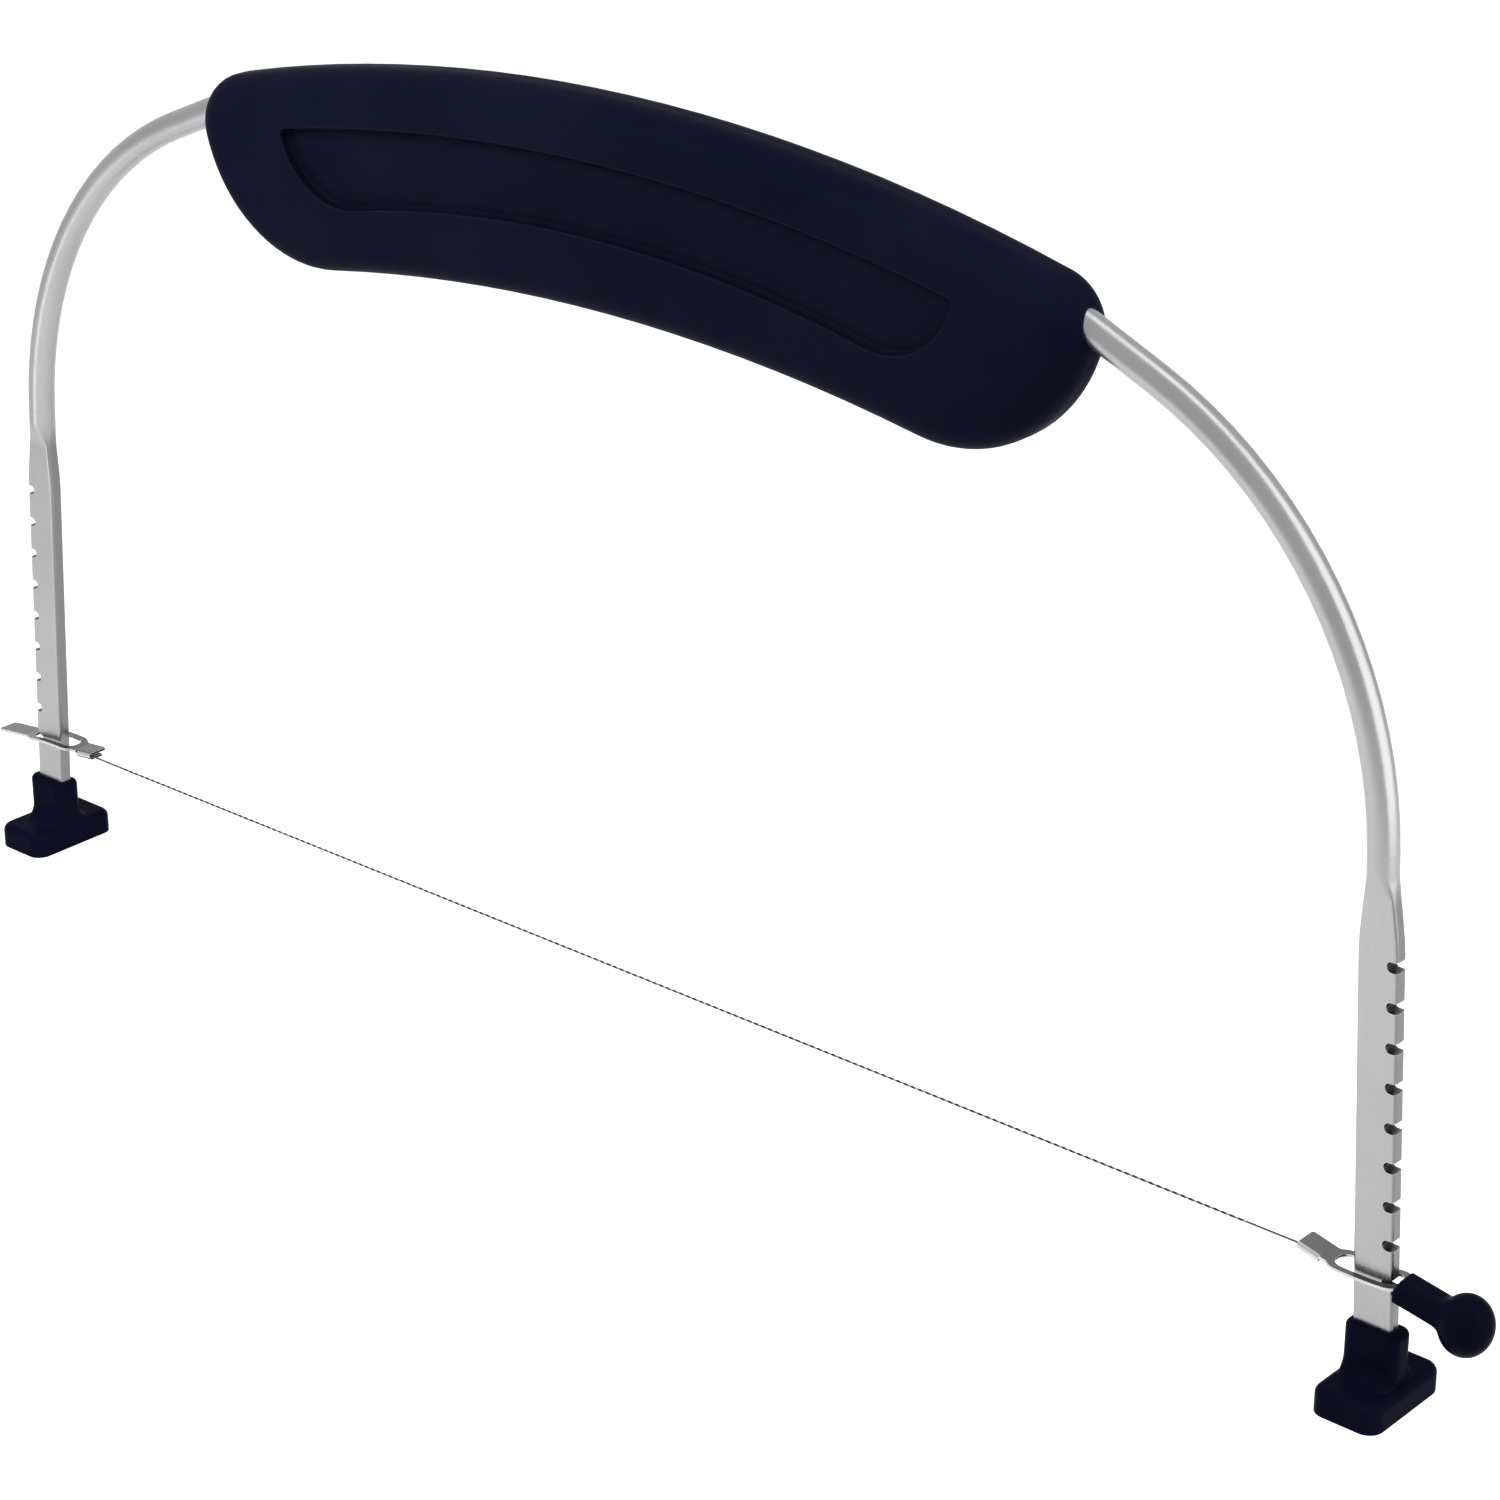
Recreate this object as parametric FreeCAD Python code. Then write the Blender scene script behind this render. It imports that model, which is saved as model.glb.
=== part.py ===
import FreeCAD, Part
import math
import os
from typing import NamedTuple

V = FreeCAD.Vector

# All sizes are in mm. X runs along the bow, -Y is the front, Z is up and the table is at Z = 0.

# Height settings of the cutting wire
notch_pitch = 6.35
notch_count = 9
notch_depth = 1.8
notch_height = 1.7
notch_z = 20.8

# Bent rod and its flattened legs
rod_d = 4.76
leg_width = 6.8
leg_thick = 2.5
leg_edge_r = 0.6
leg_lean = 0.056
leg_mid_x = 148.66
round_run = 3.0
flat_run = 4.5
spread_run = 13.0
shoulder_r = 70.0
shoulder_slope = 23.5
rod_exit_x = 97.0
rod_exit_drop = 20.2
inner_bend_r = 40.0
cross_drop = 14.4

# Handle outline and section
handle_top_z = 171.4
handle_height = 34.6
handle_thick = 12.0
handle_top_r = 348.0
handle_arch_r = 356.0
handle_end_r = 25.5
handle_end_x = 66.9
handle_tip_r = 9.0
handle_edge_r = 5.0
handle_wall = 2.2

# Recessed panel on each face of the handle
panel_drop = 9.3
panel_height = 12.2
panel_top_r = 350.0
panel_arch_r = 256.0
panel_end_r = 14.0
panel_end_x = 57.0
panel_depth = 1.8
panel_floor = 1.5
panel_corner_r = 1.2
panel_foot_r = 0.8

# Cradles and locating pins inside the handle
cradle_xs = (-56.0, -28.0, 0.0, 28.0, 56.0)
cradle_thick = 1.8
cradle_reach = 5.0
pin_d = 2.6
pin_length = 2.4
pin_clear = 0.05
boss_d = 5.4
pin_x_low = 40.0
pin_x_high = 44.0
boss_inset = 5.6

# Feet
foot_height = 12.9
foot_base_width = 11.6
foot_base_length = 18.8
foot_base_height = 4.4
foot_offset = 0.4
foot_corner_r = 2.6
foot_top_r = 1.4
stem_width = 9.4
stem_length = 5.2
stem_corner_r = 1.8
stem_fillet_r = 2.6
stem_top_r = 1.0
sole_floor = 3.0

# Stamped clips
sheet_t = 0.45
slot_clear = 0.55
slot_lift = 0.9
slot_width = 3.8
slot_corner_r = 1.7
ring_side = 1.15
ring_end = 1.3
ring_corner_r = 2.7
inner_tab_length = 4.7
inner_tab_width = 4.2
outer_tab_length = 8.3
outer_tab_width = 4.0
tab_corner_r = 0.6
root_r = 0.8
hem_length = 4.0
hem_flap = 2.4

# How the wire's pull has bent each clip and lifted it from the notch: the right-hand ring sags
# and the left-hand one is crowned
right_lift = 0.55
right_tilt = -0.7
right_crown = -0.35
right_tab_rise = 14.5
right_tail_droop = 10.9
left_lift = -0.25
left_tilt = 3.7
left_crown = 0.5
left_tab_rise = 2.3
left_tail_droop = 3.0

# Cutting wire and knob
wire_d = 0.4
wire_grip = 3.8
wire_bend_r = 3.0
neck_width = 5.8
neck_height = 3.9
neck_corner_r = 1.7
neck_start = -0.85
knob_drop = 1.0
ball_height = 10.1
ball_width = 8.0
ball_length = 8.6
ball_reach = 10.2
ball_blend_r = 2.2

# Shape settings that are not sizes
touch = 0.001
round_edge_turn = 4.0
round_face_turn = 78.0
taper_shares = (0.3, 0.7)

# Values that follow from the sizes above
travel = (notch_count - 1) * notch_pitch
leg_up = V(-leg_lean, 0, 1).normalize()
leg_out = V(leg_up.z, 0, -leg_up.x)
leg_foot = V(leg_mid_x, 0, notch_z)
rod_r = rod_d / 2
half_handle = handle_thick / 2
cross_z = handle_top_z - cross_drop
rod_exit_z = handle_top_z - rod_exit_drop
slot_in_x = leg_mid_x - leg_width / 2 - leg_lean * travel - slot_clear
slot_out_x = leg_mid_x + leg_width / 2 + slot_lift

# A clip's own frame starts at its slot's outer end and runs along its ring
slot_length = (slot_out_x - slot_in_x) / math.cos(math.radians(max(abs(right_tilt), abs(left_tilt))))
ring_in = -slot_length - ring_end
ring_out = ring_end
ring_mid = (ring_in + ring_out) / 2
tab_in = ring_in - inner_tab_length
ring_width = slot_width + 2 * ring_side
arch_length = ring_out - ring_in
hem_y = -inner_tab_width / 2 + sheet_t + wire_d / 2
hem_z = -sheet_t / 2 - wire_d / 2
across_clip = V(0, 1, 0)


class ClipBend(NamedTuple):
    """How one clip sits and is bent, as seen on the right-hand leg: lift, tilt, crown and its tabs' angles."""
    lift: float
    tilt: float
    crown: float
    tab_rise: float
    tail_droop: float

    def on_leg(self):
        """Return the placement that puts the clip's own frame on the right-hand leg."""
        seat = V(slot_out_x, 0, notch_z + self.lift)
        return FreeCAD.Placement(seat, FreeCAD.Rotation(across_clip, self.tilt))

    def tab_place(self):
        """Return the turn of the inner tab about the ring's inner end."""
        turn = FreeCAD.Rotation(across_clip, self.tab_rise)
        return FreeCAD.Placement(V(0, 0, 0), turn, V(ring_in, 0, 0))

    def tail_place(self):
        """Return the turn of the outer tab about the ring's outer end."""
        turn = FreeCAD.Rotation(across_clip, self.tail_droop)
        return FreeCAD.Placement(V(0, 0, 0), turn, V(ring_out, 0, 0))


right_bend = ClipBend(right_lift, right_tilt, right_crown, right_tab_rise, right_tail_droop)
left_bend = ClipBend(left_lift, left_tilt, left_crown, left_tab_rise, left_tail_droop)


def arc(a, b, c):
    """Return the circular edge from a through b to c."""
    return Part.Arc(a, b, c).toShape()


def line(a, b):
    """Return the straight edge from a to b."""
    return Part.LineSegment(a, b).toShape()


def box(x, y, z):
    """Return a box that spans the given (low, high) pairs."""
    return Part.makeBox(x[1] - x[0], y[1] - y[0], z[1] - z[0], V(x[0], y[0], z[0]))


def prism(edges, along):
    """Return the solid swept by a closed loop of edges along a vector."""
    return Part.Face(Part.Wire(edges)).extrude(along)


def mirror_x(shape):
    """Return the shape's mirror image across the bow's middle plane."""
    return shape.mirror(V(0, 0, 0), V(1, 0, 0))


def mirror_y(shape):
    """Return the shape's mirror image across the bow's own plane."""
    return shape.mirror(V(0, 0, 0), V(0, 1, 0))


def moved(shape, placement):
    """Return the shape carried along by a placement."""
    return shape.transformed(placement.toMatrix())


def on_circle(centre, radius, angle):
    """Return the point of an XZ circle at an angle in radians."""
    return V(centre.x + radius * math.cos(angle), 0, centre.z + radius * math.sin(angle))


def circle_arc(centre, radius, a, b):
    """Return the XZ arc about a centre between two points on it."""
    first = math.atan2(a.z - centre.z, a.x - centre.x)
    last = math.atan2(b.z - centre.z, b.x - centre.x)
    return arc(a, on_circle(centre, radius, (first + last) / 2), b)


def toward(a, b, distance):
    """Return the point at a distance from a on the line to b."""
    return a + (b - a).normalize() * distance


def circles_meet(a, ra, b, rb):
    """Return the meeting point of two XZ circles on the right of the line from a to b."""
    gap = (b - a).Length
    along = (ra ** 2 - rb ** 2 + gap ** 2) / (2 * gap)
    across = math.sqrt(ra ** 2 - along ** 2)
    u = (b - a).normalize()
    return a + u * along + V(u.z, 0, -u.x) * across


def lines_meet(p, u, q, w):
    """Return where the XZ lines p + s u and q + t w cross."""
    s = ((q.x - p.x) * w.z - (q.z - p.z) * w.x) / (u.x * w.z - u.z * w.x)
    return p + u * s


def rounded_rect(width, length, radius, z):
    """Return the edges of a rounded rectangle centred on the Z axis at a height."""
    x, y = width / 2, length / 2
    c = radius * math.sqrt(0.5)
    edges = []
    corners = ((x - radius, y - radius), (radius - x, y - radius),
               (radius - x, radius - y), (x - radius, radius - y))
    starts = ((1, 0), (0, 1), (-1, 0), (0, -1))
    points = []
    for k in range(4):
        cx, cy = corners[k]
        sx, sy = starts[k]
        a = V(cx + radius * sx, cy + radius * sy, z)
        m = V(cx + c * (sx - sy), cy + c * (sy + sx), z)
        b = V(cx - radius * sy, cy + radius * sx, z)
        points.append((a, m, b))
    for k in range(4):
        a, m, b = points[k]
        edges.append(arc(a, m, b))
        edges.append(line(b, points[(k + 1) % 4][0]))
    return edges


def bend_points(corner, u, w, radius):
    """Return the start, middle and end of the arc that turns direction u into w at a corner."""
    half_turn = math.acos(u.dot(w)) / 2
    reach = radius * math.tan(half_turn)
    middle = corner + (w - u).normalize() * (radius / math.cos(half_turn) - radius)
    return corner - u * reach, middle, corner + w * reach


def rod_bends():
    """Return the right-hand rod's two bends, from the leg to the middle."""
    slope = math.radians(shoulder_slope)
    tip_dir = V(-math.cos(slope), 0, math.sin(slope))
    middle_dir = V(-1, 0, 0)
    shoulder = lines_meet(leg_foot, leg_up, V(rod_exit_x, 0, rod_exit_z), tip_dir)
    inner = lines_meet(shoulder, tip_dir, V(0, 0, cross_z), middle_dir)
    outer_bend = bend_points(shoulder, leg_up, tip_dir, shoulder_r)
    return outer_bend, bend_points(inner, tip_dir, middle_dir, inner_bend_r)


def leg_section(centre, half_w, half_t, radius):
    """Return the rounded rectangular wire of the leg across its own line."""
    c = radius * (1 - math.sqrt(0.5))

    def at(e, y):
        return centre + leg_out * e + V(0, y, 0)

    w, t, r = half_w, half_t, radius
    edges = []
    loop = (
        (at(w, r - t), None, at(w, t - r)),
        (at(w, t - r), at(w - c, t - c), at(w - r, t)),
        (at(w - r, t), None, at(r - w, t)),
        (at(r - w, t), at(c - w, t - c), at(-w, t - r)),
        (at(-w, t - r), None, at(-w, r - t)),
        (at(-w, r - t), at(c - w, c - t), at(r - w, -t)),
        (at(r - w, -t), None, at(w - r, -t)),
        (at(w - r, -t), at(w - c, c - t), at(w, r - t)),
    )
    for a, m, b in loop:
        edges.append(line(a, b) if m is None else arc(a, m, b))
    return Part.Wire(edges)


def rod_section(centre):
    """Return the round wire of the rod across the leg's line, cut to match the leg's section."""
    edge_half = math.radians(round_edge_turn)
    face_from = math.radians(round_face_turn)
    stops = (-edge_half, edge_half, face_from, math.pi - face_from, math.pi - edge_half,
             math.pi + edge_half, math.pi + face_from, 2 * math.pi - face_from, 2 * math.pi - edge_half)

    def at(angle):
        return centre + leg_out * (rod_r * math.cos(angle)) + V(0, rod_r * math.sin(angle), 0)

    edges = [arc(at(a), at((a + b) / 2), at(b)) for a, b in zip(stops[:-1], stops[1:])]
    return Part.Wire(edges)


def ease(share):
    """Return a smooth 0 to 1 step for a share of a length."""
    share = min(share, 1.0)
    return share * share * (3 - 2 * share)


def leg_station(top, depth):
    """Return the leg's section at a depth below the round rod's end, thinned first and widened after."""
    flat = ease(depth / flat_run)
    half_w = rod_r + (leg_width / 2 - rod_r) * ease(depth / spread_run)
    half_t = rod_r + (leg_thick / 2 - rod_r) * flat
    return leg_section(top - leg_up * depth, half_w, half_t, rod_r + (leg_edge_r - rod_r) * flat)


def make_bow():
    """Return the one bent rod whose two ends are flattened and notched."""
    (a1, am, a2), (b1, bm, b2) = rod_bends()
    press_top = a1 - leg_up * round_run
    right = [line(press_top, a1), arc(a1, am, a2), line(a2, b1), arc(b1, bm, b2)]
    left = [mirror_x(edge) for edge in right]
    across = line(b2, V(-b2.x, 0, b2.z))
    path = Part.Wire(Part.__sortEdges__(right + [across] + left))
    rod = path.makePipeShell([Part.Wire([Part.Circle(press_top, leg_up, rod_r).toShape()])], True, False)
    pressed = [leg_station(press_top, share * flat_run) for share in taper_shares]
    pressed = [rod_section(press_top)] + pressed + [leg_station(press_top, flat_run)]
    widen_run = spread_run - flat_run
    spread = [leg_station(press_top, flat_run + share * widen_run) for share in (0.0,) + taper_shares + (1.0,)]
    tapers = [Part.makeLoft(sections[::-1], True, False) for sections in (pressed, spread)]
    flat_top = press_top - leg_up * spread_run
    foot_end = leg_foot + leg_up * ((sole_floor - notch_z) / leg_up.z)
    blade = Part.Face(leg_section(foot_end, leg_width / 2, leg_thick / 2, leg_edge_r))
    blade = blade.extrude(flat_top - foot_end)
    leg = blade.multiFuse(tapers)
    for k in range(notch_count):
        leg = leg.cut(make_notch(leg_foot + leg_up * (k * notch_pitch / leg_up.z)))
    return rod.multiFuse([leg, mirror_x(leg)]).removeSplitter()


def make_notch(centre):
    """Return the round-bottomed cutter of one notch in the leg's outer edge at a mid-line point."""
    radius = notch_height / 2
    bottom = centre + V(leg_width / 2 - notch_depth + radius, 0, 0)
    drum = Part.makeCylinder(radius, 2 * leg_thick, bottom - V(0, leg_thick, 0), V(0, 1, 0))
    mouth = box((bottom.x, bottom.x + 2 * notch_depth), (-leg_thick, leg_thick),
                (bottom.z - radius, bottom.z + radius))
    return drum.fuse(mouth)


def handle_outline():
    """Return the handle's outline in the bow's plane, made of tangent arcs."""
    top = V(0, 0, handle_top_z - handle_top_r)
    arch = V(0, 0, handle_top_z - handle_height - handle_arch_r)
    end_rise = math.sqrt((handle_arch_r + handle_end_r) ** 2 - handle_end_x ** 2)
    end = V(handle_end_x, 0, arch.z + end_rise)
    tip = circles_meet(top, handle_top_r - handle_tip_r, end, handle_end_r - handle_tip_r)
    top_tip = toward(top, tip, handle_top_r)
    tip_end = toward(end, tip, handle_end_r)
    end_arch = toward(arch, end, handle_arch_r)
    right = [circle_arc(tip, handle_tip_r, top_tip, tip_end)]
    right.append(circle_arc(end, handle_end_r, tip_end, end_arch))
    crown = arc(V(-top_tip.x, 0, top_tip.z), V(0, 0, handle_top_z), top_tip)
    belly = arc(V(-end_arch.x, 0, end_arch.z), V(0, 0, handle_top_z - handle_height), end_arch)
    left = [mirror_x(edge) for edge in right]
    return Part.Wire(Part.__sortEdges__([crown, belly] + right + left))


def panel_outline():
    """Return the recessed panel's outline in the bow's plane."""
    top_z = handle_top_z - panel_drop
    top = V(0, 0, top_z - panel_top_r)
    arch = V(0, 0, top_z - panel_height - panel_arch_r)
    end = V(panel_end_x, 0, arch.z + math.sqrt((panel_arch_r + panel_end_r) ** 2 - panel_end_x ** 2))
    corner = circles_meet(top, panel_top_r, end, panel_end_r)
    end_arch = toward(arch, end, panel_arch_r)
    right = [circle_arc(end, panel_end_r, corner, end_arch)]
    left = [mirror_x(edge) for edge in right]
    crown = arc(V(-corner.x, 0, corner.z), V(0, 0, top_z), corner)
    belly = arc(V(-end_arch.x, 0, end_arch.z), V(0, 0, top_z - panel_height), end_arch)
    return Part.Wire(Part.__sortEdges__([crown, belly] + right + left))


def edges_at_y(shape, y):
    """Return the shape's edges that lie wholly in the plane of one Y value."""
    return [e for e in shape.Edges if abs(e.BoundBox.YMin - y) < touch and abs(e.BoundBox.YMax - y) < touch]


def pin_points():
    """Return the XZ centres of the four locating pins."""
    arch_z = handle_top_z - handle_height - handle_arch_r
    top_z = handle_top_z - handle_top_r
    low = arch_z + math.sqrt(handle_arch_r ** 2 - pin_x_low ** 2) + boss_inset
    high = top_z + math.sqrt(handle_top_r ** 2 - pin_x_high ** 2) - boss_inset
    return [V(s * x, 0, z) for s in (-1, 1) for x, z in ((pin_x_low, low), (pin_x_high, high))]


def make_shell(bow):
    """Return the front half of the handle, hollow, with cradles round the rod and four bosses."""
    outline = handle_outline()
    outer = Part.Face(outline).extrude(V(0, -half_handle, 0))
    outer = outer.makeFillet(handle_edge_r, edges_at_y(outer, -half_handle))
    hollow_depth = half_handle - handle_wall
    inner = Part.Face(outline.makeOffset2D(-handle_wall)).extrude(V(0, -hollow_depth, 0))
    inner = inner.makeFillet(handle_edge_r - handle_wall, edges_at_y(inner, -hollow_depth))
    panel = panel_outline()
    pocket = Part.Face(panel).extrude(V(0, -half_handle, 0))
    pocket.translate(V(0, panel_depth - half_handle, 0))
    uprights = [e for e in pocket.Edges if abs(e.BoundBox.YMax - e.BoundBox.YMin) > panel_depth
                and abs(abs(e.CenterOfMass.x) - panel_end_x) > panel_end_r / 2]
    pocket = pocket.makeFillet(panel_corner_r, uprights)
    pocket = pocket.makeFillet(panel_foot_r, edges_at_y(pocket, panel_depth - half_handle))
    pad = Part.Face(panel.makeOffset2D(panel_floor)).extrude(V(0, -half_handle, 0))
    pad.translate(V(0, panel_depth + panel_floor - half_handle, 0))
    cradles = []
    for x in cradle_xs:
        rib = box((x - cradle_thick / 2, x + cradle_thick / 2), (-half_handle, 0),
                  (cross_z - cradle_reach, cross_z + cradle_reach))
        cradles.append(rib)
    deep = V(0, half_handle, 0)
    bosses = [Part.makeCylinder(boss_d / 2, half_handle, p - deep, deep) for p in pin_points()]
    inside = pad.multiFuse(cradles + bosses).common(inner)
    shell = outer.cut(inner).fuse(inside).cut(pocket).cut(bow)
    return shell.removeSplitter()


def make_handle(bow):
    """Return the handle's front and rear shells; the rear one carries the locating pins."""
    shell = make_shell(bow)
    rear = mirror_y(shell)
    pins = []
    holes = []
    for p in pin_points():
        pins.append(Part.makeCylinder(pin_d / 2, 2 * pin_length, p + V(0, pin_length, 0), V(0, -1, 0)))
        holes.append(Part.makeCylinder(pin_d / 2 + pin_clear, pin_length + pin_clear, p, V(0, -1, 0)))
    front = shell.cut(Part.makeCompound(holes)).removeSplitter()
    rear = rear.multiFuse(pins).removeSplitter()
    return front, rear


def make_foot(bow):
    """Return the right-hand foot: a slab with a socketed stem that flares into it front and back."""
    slab = prism(rounded_rect(foot_base_width, foot_base_length, foot_corner_r, 0), V(0, 0, foot_base_height))
    slab = slab.makeFillet(foot_top_r, [e for e in slab.Edges if e.BoundBox.ZMin > foot_base_height - touch])
    y = stem_length / 2
    flare = y + stem_fillet_r
    knee = foot_base_height + stem_fillet_r
    c = stem_fillet_r * (1 - math.sqrt(0.5))
    x = -stem_width / 2

    def at(py, pz):
        return V(x, py, pz)

    profile = [line(at(y, foot_height), at(y, knee)),
               arc(at(y, knee), at(y + c, foot_base_height + c), at(flare, foot_base_height)),
               line(at(flare, foot_base_height), at(flare, foot_base_height / 2)),
               line(at(flare, foot_base_height / 2), at(-flare, foot_base_height / 2)),
               line(at(-flare, foot_base_height / 2), at(-flare, foot_base_height)),
               arc(at(-flare, foot_base_height), at(-y - c, foot_base_height + c), at(-y, knee)),
               line(at(-y, knee), at(-y, foot_height)),
               line(at(-y, foot_height), at(y, foot_height))]
    stem = prism(profile, V(stem_width, 0, 0))
    corners = [e for e in stem.Edges if e.BoundBox.XMax - e.BoundBox.XMin < touch
               and e.BoundBox.ZMin > foot_base_height - touch and e.BoundBox.ZMax - e.BoundBox.ZMin > touch]
    stem = stem.makeFillet(stem_corner_r, corners)
    rim = [e for e in stem.Edges if e.BoundBox.ZMin > foot_height - touch]
    stem = stem.makeFillet(stem_top_r, rim)
    slab.translate(V(foot_offset, 0, 0))
    foot = slab.fuse(stem)
    foot.translate(V(leg_mid_x + leg_lean * (notch_z - foot_height / 2), 0, 0))
    return foot.cut(bow).removeSplitter()


def sheet_form(bend):
    """Return a clip's sheet before blanking: rising tab, crowned or sagging ring, drooping tab."""
    wide = V(0, 2 * ring_width, 0)
    side = V(0, -ring_width, 0)
    arch_r = (arch_length ** 2 / 4 + bend.crown ** 2) / (2 * abs(bend.crown))
    centre = V(ring_mid, 0, bend.crown - math.copysign(arch_r, bend.crown))
    start = V(ring_in, 0, 0)
    end = V(ring_out, 0, 0)
    radii = (arch_r + sheet_t / 2, arch_r - sheet_t / 2)
    layers = [Part.makeCylinder(r, wide.y, centre + side, wide) for r in radii]
    far = [toward(centre, p, 2 * arch_r) + side for p in (start, end)]
    wedge = [line(centre + side, far[0]), line(far[0], far[1]), line(far[1], centre + side)]
    crown = layers[0].cut(layers[1]).common(prism(wedge, wide))
    tabs = []
    tail_span = (ring_out, ring_out + outer_tab_length)
    for span, placement in (((tab_in, ring_in), bend.tab_place()), (tail_span, bend.tail_place())):
        tabs.append(moved(box(span, (side.y, -side.y), (-sheet_t / 2, sheet_t / 2)), placement))
    bends = [Part.makeCylinder(sheet_t / 2, wide.y, p + side, wide) for p in (start, end)]
    return crown.multiFuse(tabs + bends).removeSplitter()


def plan_prism(x, width, radius, height):
    """Return a tall rounded-rectangle prism over an X span of the clip's plan."""
    shape = prism(rounded_rect(x[1] - x[0], width, radius, -height), V(0, 0, 2 * height))
    shape.translate(V((x[0] + x[1]) / 2, 0, 0))
    return shape


def clip_blank(bend):
    """Return a clip's plan as a tall prism: two tabs on a slotted ring."""
    high = outer_tab_length
    inner_x = bend.tab_place().multVec(V(tab_in, 0, 0)).x
    outer_x = bend.tail_place().multVec(V(ring_out + outer_tab_length, 0, 0)).x
    ring = plan_prism((ring_in, ring_out), ring_width, ring_corner_r, high)
    inner = plan_prism((inner_x, ring_in + ring_end), inner_tab_width, tab_corner_r, high)
    outer = plan_prism((ring_out - ring_end, outer_x), outer_tab_width, tab_corner_r, high)
    blank = ring.multiFuse([inner, outer]).removeSplitter()
    roots = [e for e in blank.Edges if e.BoundBox.ZMax - e.BoundBox.ZMin > high and is_root(e)]
    blank = blank.makeFillet(root_r, roots)
    return blank.cut(plan_prism((-slot_length, 0), slot_width, slot_corner_r, high))


def is_root(edge):
    """Return whether an upright edge of the blank is an inside corner between a tab and the ring."""
    p = edge.CenterOfMass
    on_tab = min(abs(abs(p.y) - inner_tab_width / 2), abs(abs(p.y) - outer_tab_width / 2)) < touch
    near_in = ring_in - touch < p.x < ring_in + ring_corner_r
    near_out = ring_out - ring_corner_r < p.x < ring_out + touch
    return on_tab and (near_in or near_out)


def make_clip(bend):
    """Return a clip in its own frame, its inner tab hemmed round the wire's end."""
    clip = sheet_form(bend).common(clip_blank(bend))
    fold_end = tab_in + hem_length
    fold_r = sheet_t + wire_d / 2
    start = V(tab_in, hem_y, hem_z)
    trim = box((tab_in - hem_length, fold_end), (-inner_tab_width, hem_y), (-sheet_t, sheet_t))
    fold = Part.makeCylinder(fold_r, hem_length, start, V(1, 0, 0))
    fold = fold.cut(Part.makeCylinder(wire_d / 2, hem_length, start, V(1, 0, 0)))
    fold = fold.common(box((tab_in, fold_end), (hem_y - fold_r, hem_y), (hem_z - fold_r, hem_z + fold_r)))
    flap = box((tab_in, fold_end), (hem_y, hem_y + hem_flap), (hem_z - fold_r, hem_z - wire_d / 2))
    turn = bend.tab_place()
    clip = clip.cut(moved(trim, turn))
    return clip.multiFuse([moved(fold, turn), moved(flap, turn)]).removeSplitter()


def hem_end(bend):
    """Return where a right-hand wire end starts in its hem, and the corner where it bends to run across."""
    place = bend.on_leg().multiply(bend.tab_place())
    held, mouth = [place.multVec(V(x, hem_y, hem_z)) for x in (tab_in + wire_grip, tab_in)]
    out_dir = (mouth - held).normalize()
    reach = wire_bend_r * math.tan(math.acos(-out_dir.x) / 2)
    return held, mouth + out_dir * reach


def make_wire():
    """Return the cutting wire, straight between the hems that grip its bent ends."""
    right_held, right_corner = hem_end(right_bend)
    left_held, left_corner = [V(-p.x, p.y, p.z) for p in hem_end(left_bend)]
    across = (left_corner - right_corner).normalize()
    out_dir = (right_corner - right_held).normalize()
    first = bend_points(right_corner, out_dir, across, wire_bend_r)
    last = bend_points(left_corner, across, (left_held - left_corner).normalize(), wire_bend_r)
    path = Part.Wire([line(right_held, first[0]), arc(*first), line(first[2], last[0]), arc(*last),
                      line(last[2], left_held)])
    section = Part.Wire([Part.Circle(right_held, out_dir, wire_d / 2).toShape()])
    return path.makePipeShell([section], True, False)


def make_knob(clip):
    """Return the moulded knob on the right-hand clip's outer tab: a flat neck and a flattened ball."""
    centre = V(ring_out + ball_reach, 0, -knob_drop)
    neck = prism(rounded_rect(neck_height, neck_width, neck_corner_r, 0), V(0, 0, ball_reach - neck_start))
    neck.rotate(V(0, 0, 0), across_clip, 90)
    neck.translate(V(ring_out + neck_start, 0, -knob_drop))
    squash = FreeCAD.Matrix()
    squash.scale(ball_length / ball_height, ball_width / ball_height, 1)
    ball = Part.makeSphere(ball_height / 2).transformGeometry(squash)
    ball.translate(centre)
    knob = neck.fuse(ball).removeSplitter()
    seam = [e for e in knob.Edges if is_seam(knob, e)]
    knob = moved(knob.makeFillet(ball_blend_r, seam), right_bend.tail_place())
    return knob.cut(clip)


def is_seam(knob, edge):
    """Return whether an edge parts the knob's ball from its neck."""
    faces = knob.ancestorsOfType(edge, Part.Face)
    balls = [f for f in faces if f.BoundBox.ZLength > neck_height + touch]
    return len(faces) == 2 and len(balls) == 1


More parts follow.
